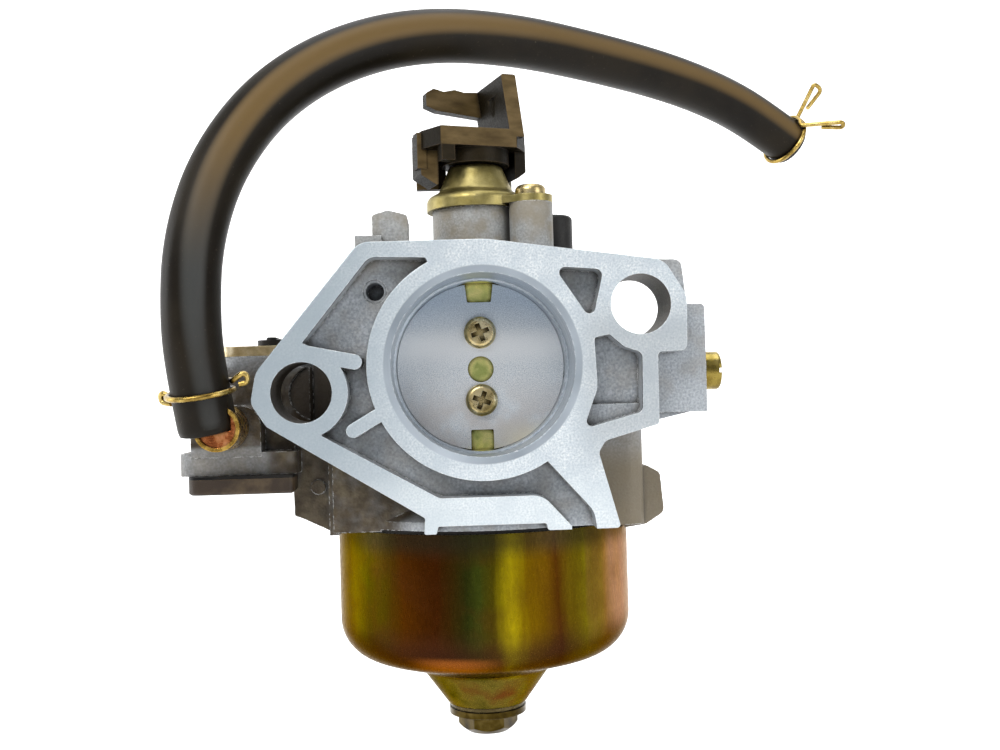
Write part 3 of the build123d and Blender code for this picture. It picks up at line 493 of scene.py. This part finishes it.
def lever_look():
    """Black moulded lever whose faces turned forwards are brown and whose other faces are near black."""
    look = Look("lever_plastic", 0.0)
    look.shader.inputs["Specular IOR Level"].default_value = 0.1
    facing = look.spread(look.axis("Y", look.normal), -0.6, -0.9)
    below = look.spread(look.axis("Z"), 39.8 * mm, 39.4 * mm)
    neck = look.both(below, look.spread(look.axis("X"), -7.2 * mm, -6.6 * mm))
    facing = look.both(facing, look.spread(neck, 0.0, 1.0, 1.0, 0.08))
    grain = look.noise(0.35 * mm, 4.0)
    patches = look.noise(2.5 * mm, 5.0, look.stretched((0.5, 1.0, 1.6)))
    front_brown = look.ramp(patches, [(0.3, tone(72, 58, 34)), (0.5, tone(92, 76, 48)), (0.7, tone(108, 90, 60))])
    colour = look.mix(look.both(facing, 0.9), tone(22, 18, 9), front_brown)
    colour = look.mix(look.both(look.edge(0.3 * mm), 0.45), colour, tone(122, 104, 80))
    # Painted shade: corners darkened to near black.
    colour = look.mix(look.corner_shade(1.6 * mm, 0.3, 0.9), tone(6, 5, 4), colour)
    look.set("Base Color", colour)
    look.set("Roughness", look.spread(grain, 0.3, 0.7, 0.34, 0.52))
    look.set("Normal", look.bump(grain, 0.06 * mm, look.round_edges(0.25 * mm), 0.6))
    return look.material


def elbow_look():
    """Brass inlet with a coppery face inside its golden rim."""
    look = Look("elbow_brass", 1.0)
    face = look.spread(look.distance_to(elbow_at), elbow_face + 0.3 * mm, elbow_face)
    drift = look.noise(1.6 * mm, 3.0)
    copper = look.ramp(drift, [
        (0.3, tone(132, 66, 34)), (0.5, tone(190, 112, 66)), (0.7, tone(228, 164, 112)),
    ])
    gold = look.ramp(drift, [(0.3, tone(150, 112, 40)), (0.7, tone(234, 196, 104))])
    colour = look.mix(face, gold, copper)
    # Painted shade: corners darkened to brown.
    colour = look.mix(look.corner_shade(0.8 * mm, 0.3, 0.9), tone(60, 36, 16), colour)
    look.set("Base Color", colour)
    look.set("Roughness", look.spread(drift, 0.3, 0.7, 0.2, 0.34))
    grain = look.noise(0.3 * mm, 4.0)
    look.set("Normal", look.bump(grain, 0.04 * mm, look.round_edges(0.25 * mm), 0.5))
    return look.material


def rubber_look(name, base, dusty, painted_sheen):
    """Black rubber with a soft bloom, and a painted highlight along the side that faces forwards and up.
    """
    look = Look(name, 0.0)
    look.shader.inputs["Specular IOR Level"].default_value = 0.14
    bloom = look.noise(14 * mm, 3.0)
    dust = look.noise(0.5 * mm, 5.0)
    colour = look.mix(look.spread(bloom, 0.35, 0.7, 0.0, 0.8), tone(*base), tone(*dusty))
    right, back, up = [look.axis(letter, look.normal) for letter in "XYZ"]
    # Painted highlight: a sheen on faces turned forwards and a little up and right, grey low down, warm
    # higher up.
    front = look.math("SUBTRACT", look.both(look.math("ADD", up, right), 0.28), back)
    lighter_tone = look.mix(look.spread(look.axis("Z"), 15 * mm, 45 * mm), tone(64, 65, 64), tone(106, 86, 54))
    colour = look.mix(look.spread(front, 0.91, 1.06, 0.0, painted_sheen), colour, lighter_tone)
    colour = look.mix(look.spread(dust, 0.64, 0.78, 0.0, 0.3), colour, tone(92, 82, 68))
    look.set("Base Color", colour)
    look.set("Roughness", look.spread(bloom, 0.3, 0.7, 0.34, 0.46))
    look.set("Normal", look.bump(look.math("ADD", dust, bloom), 0.04 * mm, None, 0.5))
    return look.material


looks = {
    casting_look: ["body_casting"],
    bowl_look: ["float_bowl"],
    plate_look: ["throttle_plate", "choke_plate"],
    lever_look: ["throttle_lever"],
    elbow_look: ["inlet_elbow"],
}
# Lowest and highest roughness.
glossy = (0.12, 0.22)
satin = (0.22, 0.34)
soft = (0.36, 0.48)
# Material name: drifting tints, brightness, roughness, nodes.
plated = {
    "yellow_zinc": ([(166, 174, 104), (204, 204, 128), (226, 218, 146), (180, 194, 126)], 1.0, soft, [
        "throttle_shaft", "idle_screw", "choke_shaft", "choke_plate_screws", "choke_lever", "cover_screw",
        "drain_screw",
    ]),
    "screw_zinc": ([(150, 132, 84), (206, 186, 134), (238, 224, 184)], 1.0, satin, [
        "throttle_plate_screws", "cap_screw",
    ]),
    "tap_zinc": ([(176, 152, 108), (216, 196, 152), (240, 228, 200)], 1.0, soft, [
        "tap_plate", "tap_plate_screws",
    ]),
    "cap_zinc": ([(166, 152, 92), (180, 166, 106), (198, 184, 124)], 0.78, soft, ["throttle_cap"]),
    "bolt_zinc": ([(88, 68, 30), (142, 118, 52), (196, 168, 96)], 0.24, glossy, ["bowl_bolt"]),
    "clip_wire": ([(150, 122, 60), (206, 176, 96), (232, 208, 140)], 0.8, satin, [
        "hose_clip_inlet", "hose_clip_free",
    ]),
    "brass": ([(146, 124, 58), (186, 164, 84), (212, 190, 112)], 0.7, satin, [
        "mixture_screw", "main_jet", "main_nozzle", "needle_seat", "float_needle", "tap_spindle",
        "fuel_strainer",
    ]),
    "bright_steel": ([(150, 150, 150), (196, 196, 196), (214, 214, 210)], 0.9, satin, [
        "float_pin", "idle_spring", "tap_spring", "choke_clip",
    ]),
    "washer_alloy": ([(150, 130, 84), (196, 176, 124)], 0.24, satin, ["bowl_bolt_washer", "drain_washer"]),
}


def dress(names, material):
    for name in names:
        mesh = nodes[name].data
        mesh.materials.clear()
        mesh.materials.append(material)


for make, names in looks.items():
    dress(names, make())
for name, (colours, shade, rough, names) in plated.items():
    dress(names, zinc_look(name, colours, rough, shade))
dress(["pilot_jet", "idle_screw_knob", "tap_lever"],
      plastic_look("black_plastic", (14, 13, 12), (52, 48, 42), 0.3))
dress(["strainer_cover"], plastic_look("cover_plastic", (44, 32, 20), (96, 80, 58), 0.7))
dress(["float"], plastic_look("float_plastic", (34, 33, 32), (62, 60, 56), 0.3))
dress(["shaft_seal", "bowl_gasket", "tap_packing", "cover_gasket"],
      rubber_look("seal_rubber", (18, 18, 18), (40, 38, 36), 0.0))
hose.data.materials.append(rubber_look("hose_rubber", (20, 16, 10), (34, 28, 18), 0.95))


# ---- floor and light -----------------------------------------------------------------------------
def build_stage():
    """A pale floor that curves up into a back wall."""
    floor_z = cad_box[0][2] - 55 * mm
    radius, half_width = 0.5, 3.0
    front_y, curve_y, wall_top = -2.5, 0.7, 3.0
    steps = 12
    profile = [(front_y, floor_z)]
    for i in range(steps + 1):
        turn = pi / 2 * i / steps
        profile.append((curve_y + radius * sin(turn), floor_z + radius * (1 - cos(turn))))
    profile.append((curve_y + radius, wall_top))
    verts = [(x, y, z) for y, z in profile for x in (-half_width, half_width)]
    faces = [(2 * i, 2 * i + 1, 2 * i + 3, 2 * i + 2) for i in range(len(profile) - 1)]
    mesh = bpy.data.meshes.new("floor")
    mesh.from_pydata(verts, [], faces)
    mesh.shade_smooth()
    floor = add_object("floor", mesh)
    look = Look("floor_white", 0.0)
    look.set("Base Color", look.mix(look.noise(0.4, 2.0), tone(250, 250, 250), tone(246, 246, 246)))
    look.shader.inputs["Roughness"].default_value = 0.8
    look.shader.inputs["Emission Color"].default_value = (1, 1, 1, 1)
    look.set("Emission Strength", look.spread(look.axis("Y"), 0.1, 0.35, 0.0, 0.8))
    mesh.materials.append(look.material)


def softbox(name, place, target, size, watts, colour=(1, 1, 1)):
    data = bpy.data.lights.new(name, "AREA")
    data.shape = "RECTANGLE"
    data.size, data.size_y = size
    data.energy = watts
    data.color = colour
    light = add_object(name, data)
    light.location = place
    light.rotation_euler = (Vector(target) - Vector(place)).to_track_quat("-Z", "Y").to_euler()


def build_light():
    world = bpy.data.worlds.new("studio")
    scene.world = world
    world.use_nodes = True
    background = world.node_tree.nodes["Background"]
    background.inputs["Color"].default_value = (0.95, 0.97, 1.0, 1.0)
    background.inputs["Strength"].default_value = 0.3
    aim = (0, 0.02, 0)
    softbox("key", (-0.35, -0.55, 0.55), aim, (0.5, 0.4), 5.0, (1.0, 0.985, 0.96))
    softbox("fill", (0.6, -0.45, 0.15), aim, (0.35, 0.6), 1.8)
    softbox("top", (0.05, 0.05, 0.8), aim, (0.7, 0.7), 3.5)
    softbox("rim", (-0.75, 0.1, 0.1), aim, (0.3, 0.8), 2.5)
    scene.view_settings.view_transform = "Standard"


build_stage()
build_light()
